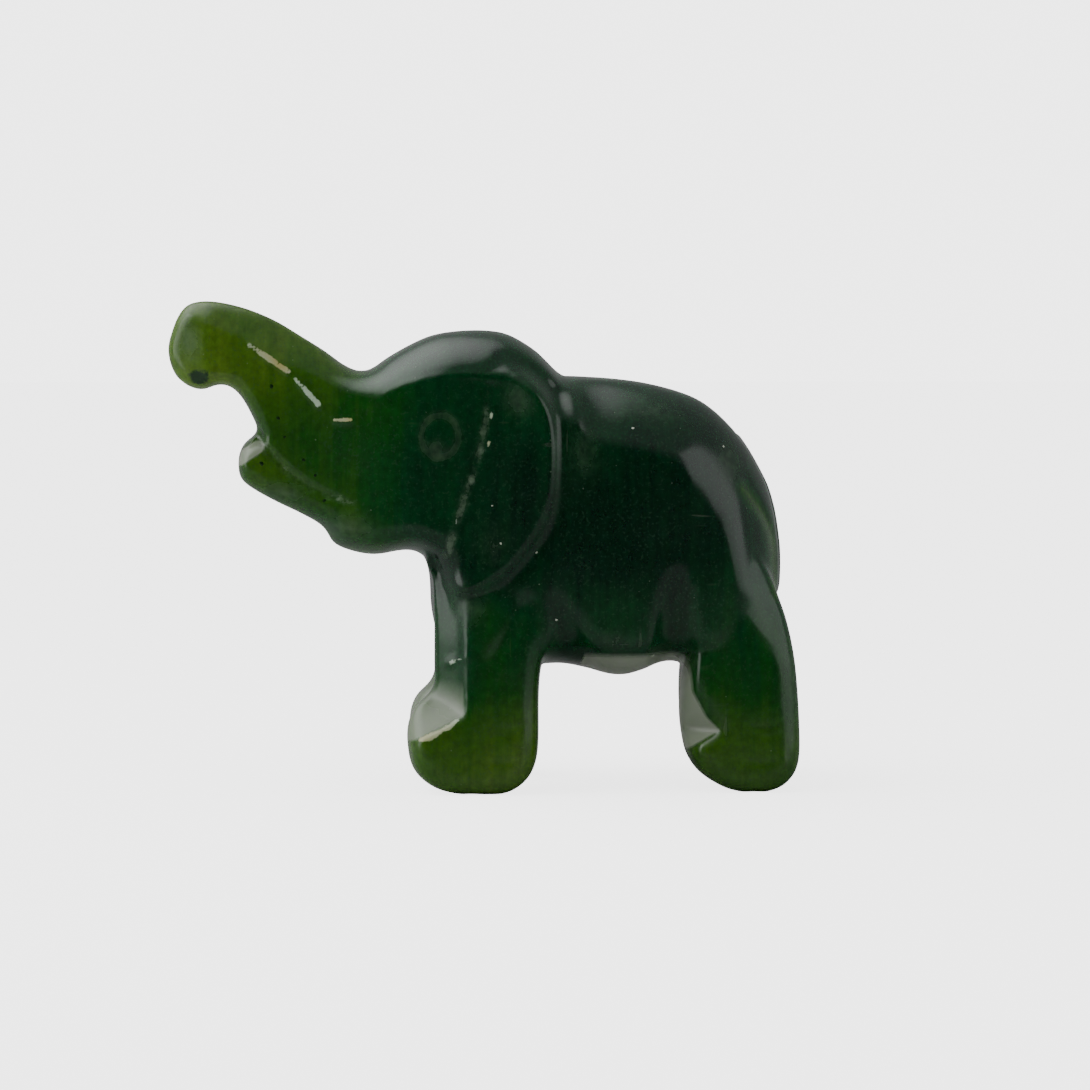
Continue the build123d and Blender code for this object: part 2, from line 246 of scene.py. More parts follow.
# The sides of the trunk's tip are ground in, and so is the top of the lower lip's end.
TIP_FACET = -21.4  # place along X where the tip's facet starts
TIP_SLOPE = 0.42
LIP_FACET = ((-19.1, 26.2), (-17.6, 27.2))
LIP_SLOPE = 0.8
LIP_END = -17.0  # the lip's facet stays in front of this and under LIP_TOP
LIP_TOP = 28.3


def flank_width(x, z):
    """Half the thickness of head and body before the edges are ground."""
    wide = np.interp(x, *zip(*FLANK_WIDTHS))
    for cut in WHEEL_CUTS:
        gap, at = nearest_on(flowing_line(cut, closed=False), x, z)
        share = np.clip(1 - (gap / np.maximum(at[:, 2], LEAST_REACH)) ** 2, 0, None)
        wide = wide - share * at[:, 3]
    wide = wide - TIP_SLOPE * np.clip(TIP_FACET - x, 0, None)
    above = np.clip(above_line(LIP_FACET, x, z), 0, None)
    return wide - LIP_SLOPE * above * (x < LIP_END) * (z < LIP_TOP)


# The toe facet rises inward from a line that climbs from the toe to the shin.
TOE_LINE = ((-5.15, 4.3), (-1.95, 5.9))
TOE_SLOPE = 1.05
SHIN_EDGE = -1.45  # place along X of the back edge of the shin's facet
CHEST_CUT = 0.8  # a front leg is this much thinner where it meets the chest
# Height, and how far back the facet of a hind foot reaches at that height.
HIND_FACET = ((3.2, 16.2), (3.9, 17.0), (4.95, 18.8), (6.0, 17.75), (8.0, 16.7), (10.4, 16.5))
HIND_SLOPE = 0.8
RUMP_CUT = 1.3  # a hind leg is this much thinner where it runs into the rump


def front_foot_cut(x, z):
    """How far the outer side of a front leg is ground in along its shin and over its toes."""
    shin = np.clip(SHIN_EDGE - x, 0, None)
    toes = TOE_SLOPE * np.clip(above_line(TOE_LINE, x, z), 0, None)
    return np.minimum(shin, toes) + CHEST_CUT * step(12, 19, z)


def hind_foot_cut(x, z):
    """The same for a hind leg, whose facet reaches furthest back low down on the foot."""
    edge = np.interp(z, *zip(*HIND_FACET))
    into_rump = RUMP_CUT * step(10.0, 17.0, z) * step(19.5, 24.0, x)
    return HIND_SLOPE * np.clip(edge - x, 0, None) + into_rump


def add_solid(target, solid, points, mirrored=False):
    """Adds a copy of a solid, with its points moved, to another bmesh."""
    write_points(solid, points)
    if mirrored:
        bmesh.ops.reverse_faces(solid, faces=solid.faces)
    mesh = bpy.data.meshes.new("solid")
    solid.to_mesh(mesh)
    target.from_mesh(mesh)
    bpy.data.meshes.remove(mesh)
    if mirrored:
        bmesh.ops.reverse_faces(solid, faces=solid.faces)


ROUGH_GRIT = 0.4
FINE_GRIT = 0.25

outline = flowing_line(BLANK_OUTLINE)
blank = reground(sawn_plate(outline, SLAB_HALF), ROUGH_GRIT)
points = read_points(blank)
x, z = points[:, 0], points[:, 2]
gap, at = nearest_on(outline, x, z, closed=True)
on_trunk = 1 - step(-14.0, -9.0, x)
flat = FLANK_RIM + TRUNK_SQUARER * on_trunk
fullness = EDGE_FULLNESS - TRUNK_STRAIGHTER * on_trunk
points[:, 1] *= flank_width(x, z) * edge_profile(gap, at[:, 2], flat, fullness) / SLAB_HALF
write_points(blank, points)

leg_middle = (LEG_INNER + LEG_OUTER) / 2
leg_half = (LEG_OUTER - LEG_INNER) / 2
LEGS = (
    # outline, facets, how far the front of the right leg stands behind that of the left one
    (FRONT_LEG_OUTLINE, front_foot_cut, 0.75),
    (HIND_LEG_OUTLINE, hind_foot_cut, 1.3),
)
for leg_outline, foot_cut, right_set in LEGS:
    line = flowing_line(leg_outline)
    leg = reground(sawn_plate(line, leg_half), ROUGH_GRIT)
    points = read_points(leg)
    x, z = points[:, 0], points[:, 2]
    gap, at = nearest_on(line, x, z, closed=True)
    across = points[:, 1] * edge_profile(gap, at[:, 2], LEG_RIM)
    keep = np.clip(1 - foot_cut(x, z) / leg_half, LEG_LEAST, 1)
    splay = LEG_SPLAY * (SPLAY_HEIGHT - z) * across / leg_half
    off_middle = x - x.mean()
    bulge = (across / leg_half) ** 2 * np.sign(off_middle) * step(0.8, 3.0, np.abs(off_middle))
    points[:, 0] = x - LEG_NOSE * bulge
    across = np.where(across > 0, across * keep + splay, across)
    for side in (-1, 1):
        placed = points.copy()
        if side > 0:
            placed[:, 0] += right_set * (x.max() - x) / (x.max() - x.min())
        placed[:, 1] = side * (leg_middle + across)
        add_solid(blank, leg, placed, mirrored=side < 0)
    leg.free()

line = flowing_line(TAIL_OUTLINE)
tail = reground(sawn_plate(line, TAIL_HALF), ROUGH_GRIT)
points = read_points(tail)
gap, at = nearest_on(line, points[:, 0], points[:, 2], closed=True)
points[:, 1] *= edge_profile(gap, at[:, 2], TAIL_RIM)
add_solid(blank, tail, points)
tail.free()

stone = reground(blank, FINE_GRIT)


def polish(bm, rounds):
    """Smooths the whole surface a little, as lapping does."""
    for _ in range(rounds):
        bmesh.ops.smooth_vert(
            bm, verts=bm.verts, factor=0.5, use_axis_x=True, use_axis_y=True, use_axis_z=True
        )


polish(stone, 5)

# Wheel work on the flanks: ears, eyes, mouth and folds, the same on both sides.
EAR_RIM = flowing_line([
    (0.3, 32.9), (2.0, 33.1), (3.7, 32.3), (4.85, 31.0), (5.45, 29.0), (5.6, 26.3),
    (5.35, 23.2), (4.4, 20.7), (2.5, 18.1), (0.5, 16.5), (-1.4, 15.9), (-2.9, 16.6),
    (-3.1, 18.4), (-2.05, 21.5), (-1.1, 24.3), (-0.3, 27.0), (0.2, 30.2),
])
EAR_BACK = flowing_line([
    (2.0, 33.1), (3.7, 32.3), (4.85, 31.0), (5.45, 29.0), (5.6, 26.3), (5.35, 23.2),
    (4.4, 20.7), (2.5, 18.1), (0.5, 16.5), (-1.4, 15.9),
], closed=False)
EAR_FRONT = flowing_line([
    (0.45, 32.0, 0.3), (0.25, 30.2, 1.0), (-0.3, 27.0, 0.8), (-1.1, 24.3, 0.5),
    (-2.05, 21.5, 0.8), (-2.95, 18.4, 0.2),
], closed=False)
CROWN_FOLD = flowing_line([
    (0.7, 34.6, 0.0), (2.6, 34.0, 0.5), (4.4, 32.9, 0.9), (5.6, 31.4, 0.7),
    (6.2, 29.6, 0.3), (6.5, 27.5, 0.0),
], closed=False)
BROW_CREST = flowing_line([
    (-9.0, 30.45, 0.4), (-6.5, 32.0, 0.8), (-3.9, 32.7, 1.0), (-1.7, 32.9, 1.0),
    (0.1, 32.8, 0.9), (1.6, 32.2, 0.0),
], closed=False)
MOUTH = flowing_line([
    (-17.5, 27.8, 1.0), (-16.3, 26.3, 1.0), (-14.9, 25.0, 0.9), (-13.2, 23.9, 0.6),
    (-11.2, 23.1, 0.2), (-10.0, 22.8, 0.0),
], closed=False)
SHOULDER_FOLD = flowing_line([
    (3.7, 15.9, 0.0), (2.9, 14.4, 0.8), (1.7, 12.3, 1.0), (0.7, 10.6, 0.8), (0.2, 9.8, 0.0),
], closed=False)
TAIL_EDGE = flowing_line([
    (20.5, 25.6, 0.0), (21.3, 23.6, 0.7), (22.6, 21.7, 1.0), (23.4, 19.8, 1.0),
    (23.5, 17.0, 0.8), (23.3, 15.2, 0.0),
], closed=False)
# The thin crest of stone between the rump and the tail, where light comes through.
TAIL_RIDGE = flowing_line([
    (20.6, 23.9), (22.3, 21.9), (23.2, 20.0), (23.5, 17.8), (23.4, 15.6),
], closed=False)
# Short raised scars of the wheel on the trunk, by the ear, on the shin and along the edge of the toe
# facet; their pale colour is a painted highlight.
# Each point is a place along X, a height and how strong the scar is there.
SCAR_HIGHLIGHTS = (
    ((-18.25, 35.25, 0.94), (-16.7, 34.2, 1.04), (-15.2, 33.15, 1.0)),
    ((-14.6, 32.6, 0.92), (-13.7, 31.55, 0.97), (-12.85, 30.6, 1.06)),
    ((-11.55, 29.4, 0.93), (-10.35, 29.4, 0.93)),
    ((0.62, 30.1, 0.7), (0.6, 29.8, 0.9), (0.58, 29.4, 0.75)),
    ((0.5, 27.95, 0.7), (0.42, 27.7, 0.9), (0.35, 27.35, 0.8)),
    ((-2.05, 22.0, 0.7), (-2.2, 21.3, 0.85), (-2.3, 20.7, 0.7)),
    ((-2.6, 10.25, 0.9), (-2.0, 10.6, 0.85), (-1.4, 10.85, 0.7)),
    ((-5.05, 4.35, 0.9), (-4.3, 4.6, 1.1), (-3.4, 5.05, 0.95), (-2.6, 5.5, 1.0),
     (-2.05, 5.95, 0.85)),
)
# Shallow scratches that the slab saw left low on the outer sides of the legs.
SAW_MARKS = (
    ((0.9, 5.3, 0.4), (2.0, 5.15, 1.0), (3.2, 5.4, 0.5)),
    ((0.5, 4.75, 0.5), (1.8, 4.6, 1.0), (3.0, 4.8, 0.3)),
    ((0.4, 2.6, 0.3), (1.4, 2.5, 0.9), (2.6, 2.65, 0.4)),
    ((20.6, 5.3, 0.4), (21.8, 5.1, 1.0), (23.2, 5.35, 0.5)),
    ((20.9, 4.6, 0.4), (22.2, 4.45, 0.9), (23.4, 4.6, 0.4)),
    ((20.2, 2.5, 0.4), (21.6, 2.35, 0.9), (23.0, 2.5, 0.5)),
)
# Line, half width and depth of every stroke of the wheel; below zero it is a raised crest.
STROKES = [
    (EAR_FRONT, 0.26, 0.12), (CROWN_FOLD, 0.75, 0.8), (BROW_CREST, 0.24, -0.09),
    (MOUTH, 0.24, 0.28), (SHOULDER_FOLD, 0.55, 0.22), (TAIL_EDGE, 0.45, 0.4),
]
for highlit_scar in SCAR_HIGHLIGHTS:
    STROKES.append((np.array(highlit_scar), 0.25, -0.12))
for scratch in SAW_MARKS:
    STROKES.append((np.array(scratch), 0.16, 0.05))
EAR_RAISED = 0.62
EAR_LIP = 0.05  # a fine crest just inside the back edge of the ear
EAR_TROUGH = 0.22  # the hollow that the wheel leaves behind the ear
EAR_DIP = (2.7, 29.4)  # the dished upper half of the ear
EAR_DIP_REACH = (1.5, 2.2)
EAR_DIP_DEPTH = 0.4
# The eye is the ring left by a hollow drill, a little narrower than it is high.
EYE = (-3.4, 28.1)
EYE_RADIUS = 1.64
EYE_NARROW = 0.88
EYE_RING_WIDTH = 0.28
EYE_RING_DEPTH = 0.05
EYE_DOME = 0.06
NOSTRIL = (-22.25, 32.75)
PIT_REACH = (0.6, 0.45)
PIT_DEPTH = 0.1
# Places the polishing buff hardly reached: middle along X, height, reach both ways, how dull.
DULL_PATCHES = (
    (-3.7, 27.15, 1.3, 1.3, 0.95), (2.6, 30.9, 1.8, 2.6, 0.85), (7.9, 27.0, 2.4, 4.0, 0.75),
    (0.6, 19.5, 2.8, 3.4, 0.65), (-1.2, 14.6, 2.6, 3.0, 0.8), (10.2, 12.0, 2.4, 2.4, 0.7),
    (-10.6, 20.9, 3.6, 1.9, 1.0), (-15.6, 23.7, 3.4, 1.5, 1.0), (-23.0, 35.6, 1.9, 3.4, 0.9),
    (24.3, 8.6, 1.5, 6.5, 0.9), (19.4, 26.0, 2.4, 3.6, 0.8), (13.5, 30.0, 6.0, 2.0, 0.6),
)


def off_centre(x, z, middle, reach):
    """Distance from a place, counted in how far it reaches along X and in height."""
    return np.hypot((x - middle[0]) / reach[0], (z - middle[1]) / reach[1])


def wheel_work(x, z):
    """How far the finished flank stands out from, or is cut into, the ground blank."""
    rim_gap, _ = nearest_on(EAR_RIM, x, z, closed=True)
    front_gap, _ = nearest_on(EAR_FRONT, x, z)
    back_gap, _ = nearest_on(EAR_BACK, x, z)
    within = inside(EAR_RIM, x, z)
    from_rim = np.where(within, rim_gap, -rim_gap)
    from_back = np.where(within, back_gap, -back_gap)
    spread = step(0.3, 3.5, front_gap)
    work = EAR_RAISED * step(-0.55, 0.5, from_rim) * spread
    work += EAR_LIP * np.exp(-(((from_back - 0.35) / 0.3) ** 2)) * spread
    work -= EAR_TROUGH * np.exp(-(((from_back + 0.9) / 0.85) ** 2)) * step(16.5, 20.0, z)
    work -= EAR_DIP_DEPTH * np.exp(-(off_centre(x, z, EAR_DIP, EAR_DIP_REACH) ** 2))
    for line, width, depth in STROKES:
        cut, at = groove(line, x, z, width)
        work -= depth * cut * at[:, 2]
    off_eye = off_centre(x, z, EYE, (EYE_NARROW, 1))
    work -= EYE_RING_DEPTH * np.exp(-(((off_eye - EYE_RADIUS) / EYE_RING_WIDTH) ** 2))
    work += EYE_DOME * np.clip(1 - (off_eye / EYE_RADIUS) ** 2, 0, None)
    work -= PIT_DEPTH * np.exp(-(off_centre(x, z, NOSTRIL, PIT_REACH) ** 2))
    return work


stone.normal_update()
facing = np.array([v.normal.y for v in stone.verts])
points = read_points(stone)
side_sign = np.sign(points[:, 1])
on_flank = step(0.15, 0.6, side_sign * facing) * step(3.0, 4.0, np.abs(points[:, 1]))
points[:, 1] += side_sign * wheel_work(points[:, 0], points[:, 2]) * on_flank
write_points(stone, points)
polish(stone, 1)


def joined_pairs(bm):
    """The two vertex numbers of every edge."""
    bm.verts.index_update()
    return np.array([[v.index for v in e.verts] for e in bm.edges])


def spread_out(values, pairs, rounds):
    """Averages a value over neighbouring vertices, several times over."""
    count = np.bincount(pairs.ravel(), minlength=len(values))
    for _ in range(rounds):
        total = np.bincount(pairs[:, 0], values[pairs[:, 1]], len(values))
        total += np.bincount(pairs[:, 1], values[pairs[:, 0]], len(values))
        values = 0.5 * values + 0.5 * total / np.maximum(count, 1)
    return values


PROBE_START = 0.05  # how far under the skin the light is followed from
PROBE_TILT = 0.8
PROBE_REACH = 30.0
PROBE_MOST = 24.0  # beyond this much stone no light comes through


def stone_behind(bm):
    """How much stone light has to cross behind each vertex, in millimetres."""
    bm.normal_update()
    tree = BVHTree.FromBMesh(bm)
    depths = []
    for v in bm.verts:
        normal = v.normal
        aside = normal.orthogonal().normalized()
        other = normal.cross(aside)
        start = v.co - normal * PROBE_START
        total = 0.0
        for tilt in (aside, -aside, other, -other):
            hit = tree.ray_cast(start, -(normal + tilt * PROBE_TILT).normalized(), PROBE_REACH)
            total += min(hit[3] or PROBE_REACH, PROBE_MOST)
        depths.append(total / 4)
    return np.array(depths)


def mark(obj, name, values):
    """Stores one number per vertex for the material to read."""
    layer = obj.data.attributes.new(name, "FLOAT", "POINT")
    layer.data.foreach_set("value", np.asarray(values, dtype=np.float32))


GLOW_DEEPEST = 23.0  # stone this thick looks darkest, and thinner by GLOW_RANGE brightest
GLOW_RANGE = 16.0
RIDGE_GLOW = 0.45
RIDGE_REACH = 0.9
depth = spread_out(stone_behind(stone), joined_pairs(stone), 60)
points = read_points(stone)
x, z = points[:, 0], points[:, 2]
# Painted light: the thinner the stone behind a place, the brighter its colour, as if light shone through
# it.
painted_glow = np.clip((GLOW_DEEPEST - depth) / GLOW_RANGE, 0.0, 1.0)
# Painted shade: the colour is made darker round the body, down to the knees, where less light gets into
# the stone. It is also darker from behind the head on, and a little over the hind body.
painted_glow *= 1 - 0.4 * step(0.0, 13.0, z) * step(-11.0, -1.0, x)
painted_glow *= 1 - 0.24 * step(-10.0, -4.0, x)
painted_glow *= 1 - 0.14 * step(8.0, 16.0, x)
# Painted light coming through the thin crest between the rump and the tail.
tail_gap, _ = nearest_on(TAIL_RIDGE, x, z)
painted_glow += RIDGE_GLOW * np.clip(1 - tail_gap / RIDGE_REACH, 0, 1) * (np.abs(points[:, 1]) > 2.0)

# Each field below falls off evenly with distance, so the material can cut it to a clean edge.
FIELD_REACH = 0.8  # how far from its line a field falls to nothing
sides = np.abs(points[:, 1]) > 2.5
front_gap, _ = nearest_on(EAR_FRONT, x, z)
mouth_gap, _ = nearest_on(MOUTH, x, z)
powder = np.clip(1 - np.minimum(front_gap, mouth_gap + 0.08) / FIELD_REACH, 0, 1) * sides
off_eye = off_centre(x, z, EYE, (EYE_NARROW, 1))
dull = np.clip(1 - np.abs(off_eye - EYE_RADIUS) / FIELD_REACH, 0, 1) * sides
for middle_x, middle_z, reach_x, reach_z, strength in DULL_PATCHES:
    off = off_centre(x, z, (middle_x, middle_z), (reach_x, reach_z))
    dull = np.maximum(dull, strength * np.clip(1.1 - off, 0, 1) * sides)
# The facets of the feet and the lip were left matt as the wheel ground them, the shin's finest; their
# pale grey colour is painted sheen.
SHIN_MOST = 0.24
HIND_MOST = 1.0
LIP_REACH = 0.6
front_half = x < 8
facet = np.where(
    front_half, front_foot_cut(x, z) * (z < 17.0), hind_foot_cut(x, z) * (z < 11.5)
)
fade = np.where(
    front_half, 1 - 0.8 * step(6.5, 9.5, z) - 0.2 * step(12.0, 17.0, z), 1 - step(9.0, 11.5, z)
)
ground = np.clip(facet, 0, np.where(front_half, SHIN_MOST, HIND_MOST)) * fade * sides * (x < 20)
lip_gap, _ = nearest_on(np.array(LIP_FACET), x, z)
ground = np.maximum(ground, np.clip(1 - lip_gap / LIP_REACH, 0, 1) * sides)
# Painted highlight along each scar, strongest on its line.
scar_highlight = np.zeros(len(x))
for highlit_scar in SCAR_HIGHLIGHTS:
    gap, at = nearest_on(np.array(highlit_scar), x, z)
    scar_highlight = np.maximum(scar_highlight, (at[:, 2] - gap / FIELD_REACH) * sides)
HOLLOW_REACH = (0.75, 0.6)  # the painted shade in the nostril is wider than its pit
hollow = np.clip(1 - off_centre(x, z, NOSTRIL, HOLLOW_REACH) / 2, 0, 1)

flank_tree = BVHTree.FromBMesh(stone)  # kept in millimetres, for the grains to sit on
bmesh.ops.scale(stone, verts=stone.verts, vec=(MM, MM, MM))
elephant = as_object(stone, "jade_elephant")
elephant.data.shade_smooth()
FIELDS = {
    "painted_glow": painted_glow, "powder": powder, "dull": dull, "ground": ground, "highlit_scar": scar_highlight, "hollow": hollow,
}
for name, values in FIELDS.items():
    mark(elephant, name, values)


def feed(tree, socket, value):
    """Links a socket to another one, or gives it a plain value."""
    if isinstance(value, bpy.types.NodeSocket):
        tree.links.new(value, socket)
    else:
        socket.default_value = value


def node(tree, kind, inputs=None, **settings):
    """Adds one node; inputs are values or the sockets that feed it."""
    new = tree.nodes.new("ShaderNode" + kind)
    for name, value in settings.items():
        setattr(new, name, value)
    for name, value in (inputs or {}).items():
        feed(tree, new.inputs[name], value)
    return new


def noise(tree, where, scale, detail=3.0, rough=0.5):
    """A soft random pattern, 0 to 1; scale counts patches per metre."""
    new = node(tree, "TexNoise", {"Vector": where, "Scale": scale, "Detail": detail, "Roughness": rough})
    return new.outputs["Fac"]


def spread_range(tree, value, low, high, to_low=0.0, to_high=1.0):
    """Stretches the part of a value between low and high over a new range."""
    new = node(tree, "MapRange", {
        "Value": value, "From Min": low, "From Max": high, "To Min": to_low, "To Max": to_high,
    })
    return new.outputs["Result"]


def blend(tree, share, first, second, how="MIX"):
    """Mixes two colours."""
    new = node(tree, "Mix", data_type="RGBA", blend_type=how)
    feed(tree, new.inputs[0], share)
    feed(tree, new.inputs[6], first)
    feed(tree, new.inputs[7], second)
    return new.outputs[2]


def sums(tree, how, first, second):
    """Arithmetic on two numbers."""
    new = node(tree, "Math", operation=how)
    feed(tree, new.inputs[0], first)
    feed(tree, new.inputs[1], second)
    return new.outputs[0]


def grey(tree, level):
    """A colour with the same level of red, green and blue."""
    return node(tree, "CombineColor", {"Red": level, "Green": level, "Blue": level}).outputs["Color"]


def new_group(name, inputs, outputs):
    """An empty node group with number inputs (name: default) and outputs (name: kind)."""
    group = bpy.data.node_groups.new(name, "ShaderNodeTree")
    group.interface.new_socket("Vector", in_out="INPUT", socket_type="NodeSocketVector")
    for label, default in inputs.items():
        socket = group.interface.new_socket(label, in_out="INPUT", socket_type="NodeSocketFloat")
        socket.default_value = default
    for label, kind in outputs.items():
        group.interface.new_socket(label, in_out="OUTPUT", socket_type="NodeSocket" + kind)
    return group, group.nodes.new("NodeGroupInput"), group.nodes.new("NodeGroupOutput")


# Hand polish: gentle waves, pin-prick pits and stray scratches, as height and as a mask.
hand_polish, given, result = new_group(
    "hand_polish",
    {"Wave": 1.0, "Pits": 1.0, "Scratches": 1.0},
    {"Height": "Float", "Wear": "Float"},
)
tree = hand_polish
waves = noise(tree, given.outputs["Vector"], 420.0, 2.0)
orange_peel = noise(tree, given.outputs["Vector"], 2600.0, 2.0)
cells = node(tree, "TexVoronoi", {"Vector": given.outputs["Vector"], "Scale": 1150.0, "Randomness": 1.0})
cell_pick = node(tree, "SeparateColor", {"Color": cells.outputs["Color"]})
spots = spread_range(tree, cells.outputs["Distance"], 0.03, 0.11, 1.0, 0.0)
some = spread_range(tree, cell_pick.outputs["Red"], 0.8, 0.86)
pits = sums(tree, "MULTIPLY", sums(tree, "MULTIPLY", spots, some), given.outputs["Pits"])
drawn = node(tree, "Mapping", {
    "Vector": given.outputs["Vector"], "Rotation": (0.3, 0.5, 0.2), "Scale": (900.0, 900.0, 60.0),
})
crossed = node(tree, "Mapping", {
    "Vector": given.outputs["Vector"], "Rotation": (0.2, -0.9, 0.1), "Scale": (90.0, 900.0, 1100.0),
})
lines_a = spread_range(tree, noise(tree, drawn.outputs["Vector"], 1.6, 1.0), 0.72, 0.80)
lines_b = spread_range(tree, noise(tree, crossed.outputs["Vector"], 1.4, 1.0), 0.73, 0.81)
worn = spread_range(tree, noise(tree, given.outputs["Vector"], 170.0, 2.0), 0.45, 0.62)
scratches = sums(tree, "MULTIPLY", sums(tree, "MAXIMUM", lines_a, lines_b), worn)
scratches = sums(tree, "MULTIPLY", scratches, given.outputs["Scratches"])
waves = sums(tree, "MULTIPLY", waves, given.outputs["Wave"])
rise = sums(tree, "ADD", waves, sums(tree, "MULTIPLY", orange_peel, 0.015))
damage = sums(tree, "MAXIMUM", pits, scratches)
height = sums(tree, "SUBTRACT", rise, sums(tree, "MULTIPLY", damage, 0.12))
tree.links.new(height, result.inputs["Height"])
tree.links.new(damage, result.inputs["Wear"])


def new_material(name):
    """A material, its tree, its shader and the places on the piece, in its own coordinates."""
    material = bpy.data.materials.new(name)
    material.use_nodes = True
    tree = material.node_tree
    where = node(tree, "TexCoord").outputs["Object"]
    return material, tree, tree.nodes["Principled BSDF"], where


def give_wear(tree, shader, where, strength, depth, **amounts):
    """Puts hand_polish in a material, depth in millimetres, and returns its mask."""
    wear = node(tree, "Group", {"Vector": where, **amounts}, node_tree=hand_polish)
    relief = node(tree, "Bump", {
        "Height": wear.outputs["Height"], "Strength": strength, "Distance": depth * MM,
    })
    tree.links.new(relief.outputs["Normal"], shader.inputs["Normal"])
    return wear.outputs["Wear"]


# The jade: painted through-light, the colour goes from near black where the stone is thick to moss green
# where it is thin and light would shine through it.
JADE_TONES = (
    (0.2, (0.0014, 0.042, 0.011, 1)),
    (0.42, (0.006, 0.06, 0.005, 1)),
    (0.7, (0.034, 0.1, 0.006, 1)),
)
JADE_THICK = (0.0009, 0.019, 0.008, 1)
JADE_THIN = (0.09, 0.17, 0.016, 1)
SPECKLE_GREEN = (0.03, 0.075, 0.04, 1)
WEAR_DUST = (0.16, 0.2, 0.13, 1)
POWDER_WHITE = (0.22, 0.3, 0.2, 1)
FROSTED_GREEN = (0.07, 0.13, 0.06, 1)
FACET_SHEEN_GREY = (0.33, 0.365, 0.29, 1)
HIGHLIGHT_GREEN = (0.52, 0.66, 0.5, 1)
HIGHLIGHT_TAN = (0.55, 0.47, 0.19, 1)
NOSTRIL_SHADE_DARK = (0.001, 0.022, 0.01, 1)
jade, tree, shader, where = new_material("polished_nephrite")
field = {name: node(tree, "Attribute", attribute_name=name).outputs["Fac"] for name in FIELDS}
cloud = noise(tree, where, 75.0, 3.0, 0.5)
streaked = node(tree, "Mapping", {
    "Vector": where, "Scale": (1000.0, 400.0, 80.0), "Rotation": (0.0, 0.08, 0.0),
})
fibre = noise(tree, streaked.outputs["Vector"], 1.0, 4.0, 0.65)
fine = noise(tree, where, 1500.0, 4.0, 0.7)
patchy = sums(tree, "ADD", field["painted_glow"], spread_range(tree, cloud, 0.3, 0.7, -0.09, 0.09))
patchy = sums(tree, "ADD", patchy, spread_range(tree, fibre, 0.3, 0.7, -0.08, 0.08))
tone = node(tree, "ValToRGB", {"Fac": patchy})
tone.color_ramp.elements[0].color = JADE_THICK
tone.color_ramp.elements[1].color = JADE_THIN
for place, shade in JADE_TONES:
    stop = tone.color_ramp.elements.new(place)
    stop.color = shade
grain = grey(tree, spread_range(tree, fine, 0.25, 0.75, 0.75, 1.3))
colour = blend(tree, 1.0, tone.outputs["Color"], grain, "MULTIPLY")
speckle = spread_range(tree, noise(tree, where, 4200.0, 2.0, 0.6), 0.56, 0.7)
colour = blend(tree, sums(tree, "MULTIPLY", speckle, 0.3), colour, SPECKLE_GREEN)
worn = give_wear(tree, shader, where, 0.16, 0.12)
colour = blend(tree, sums(tree, "MULTIPLY", worn, 0.2), colour, WEAR_DUST)
# Dry powder stays in the cuts, and the places that the buff missed look frosted.
ragged = spread_range(tree, noise(tree, where, 1500.0, 3.0, 0.6), 0.3, 0.7, -0.16, 0.16)
broken = spread_range(tree, noise(tree, where, 500.0, 3.0, 0.6), 0.3, 0.6)
powdered = spread_range(tree, sums(tree, "ADD", field["powder"], ragged), 0.35, 1.05)
powdered = sums(tree, "POWER", sums(tree, "MULTIPLY", powdered, broken), 2.0)
left_behind = sums(tree, "MULTIPLY", powdered, spread_range(tree, fine, 0.35, 0.65, 0.1, 0.6))
colour = blend(tree, left_behind, colour, POWDER_WHITE)
half_ragged = sums(tree, "MULTIPLY", ragged, 0.5)
unpolished = spread_range(tree, sums(tree, "ADD", field["dull"], half_ragged), 0.1, 1.0)
unpolished = sums(tree, "POWER", unpolished, 2.4)
frosted = sums(tree, "MULTIPLY", unpolished, spread_range(tree, fine, 0.35, 0.65, 0.1, 0.5))
colour = blend(tree, frosted, colour, FROSTED_GREEN)
ground_dull_and_sheen = spread_range(tree, field["ground"], 0.06, 0.3)
# Painted sheen: the ground facets are coloured pale grey.
colour = blend(tree, sums(tree, "MULTIPLY", ground_dull_and_sheen, 0.76), colour, FACET_SHEEN_GREY)
# Painted highlight: the scars are coloured pale green and tan.
scar_ragged = sums(tree, "MULTIPLY", ragged, 0.6)
scar_highlight_share = spread_range(tree, sums(tree, "ADD", field["highlit_scar"], scar_ragged), 0.7, 0.82)
scar_highlight_colour = blend(tree, spread_range(tree, cloud, 0.45, 0.55), HIGHLIGHT_GREEN, HIGHLIGHT_TAN)
colour = blend(tree, sums(tree, "MULTIPLY", scar_highlight_share, 0.8), colour, scar_highlight_colour)
# Painted shade darkens the inside of the nostril.
nostril_shaded = spread_range(tree, sums(tree, "ADD", field["hollow"], ragged), 0.4, 0.62)
colour = blend(tree, sums(tree, "MULTIPLY", nostril_shaded, 0.9), colour, NOSTRIL_SHADE_DARK)
tree.links.new(colour, shader.inputs["Base Color"])
haze = spread_range(tree, noise(tree, where, 140.0, 3.0, 0.6), 0.2, 0.8, 0.12, 0.26)
unshiny = sums(tree, "MAXIMUM", unpolished, powdered)
rough = sums(tree, "ADD", haze, sums(tree, "MULTIPLY", unshiny, 0.3))
rough = sums(tree, "ADD", rough, sums(tree, "MULTIPLY", worn, 0.2))
rough = sums(tree, "ADD", rough, sums(tree, "MULTIPLY", ground_dull_and_sheen, 0.12))
tree.links.new(rough, shader.inputs["Roughness"])
shader.inputs["IOR"].default_value = 1.61
shader.inputs["Specular IOR Level"].default_value = 0.38
shader.inputs["Subsurface Weight"].default_value = 0.35
shader.inputs["Subsurface Radius"].default_value = (0.5, 1.0, 0.35)
shader.inputs["Subsurface Scale"].default_value = 1.2 * MM
elephant.data.materials.append(jade)
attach(elephant, "root")
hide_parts("carved_stone")

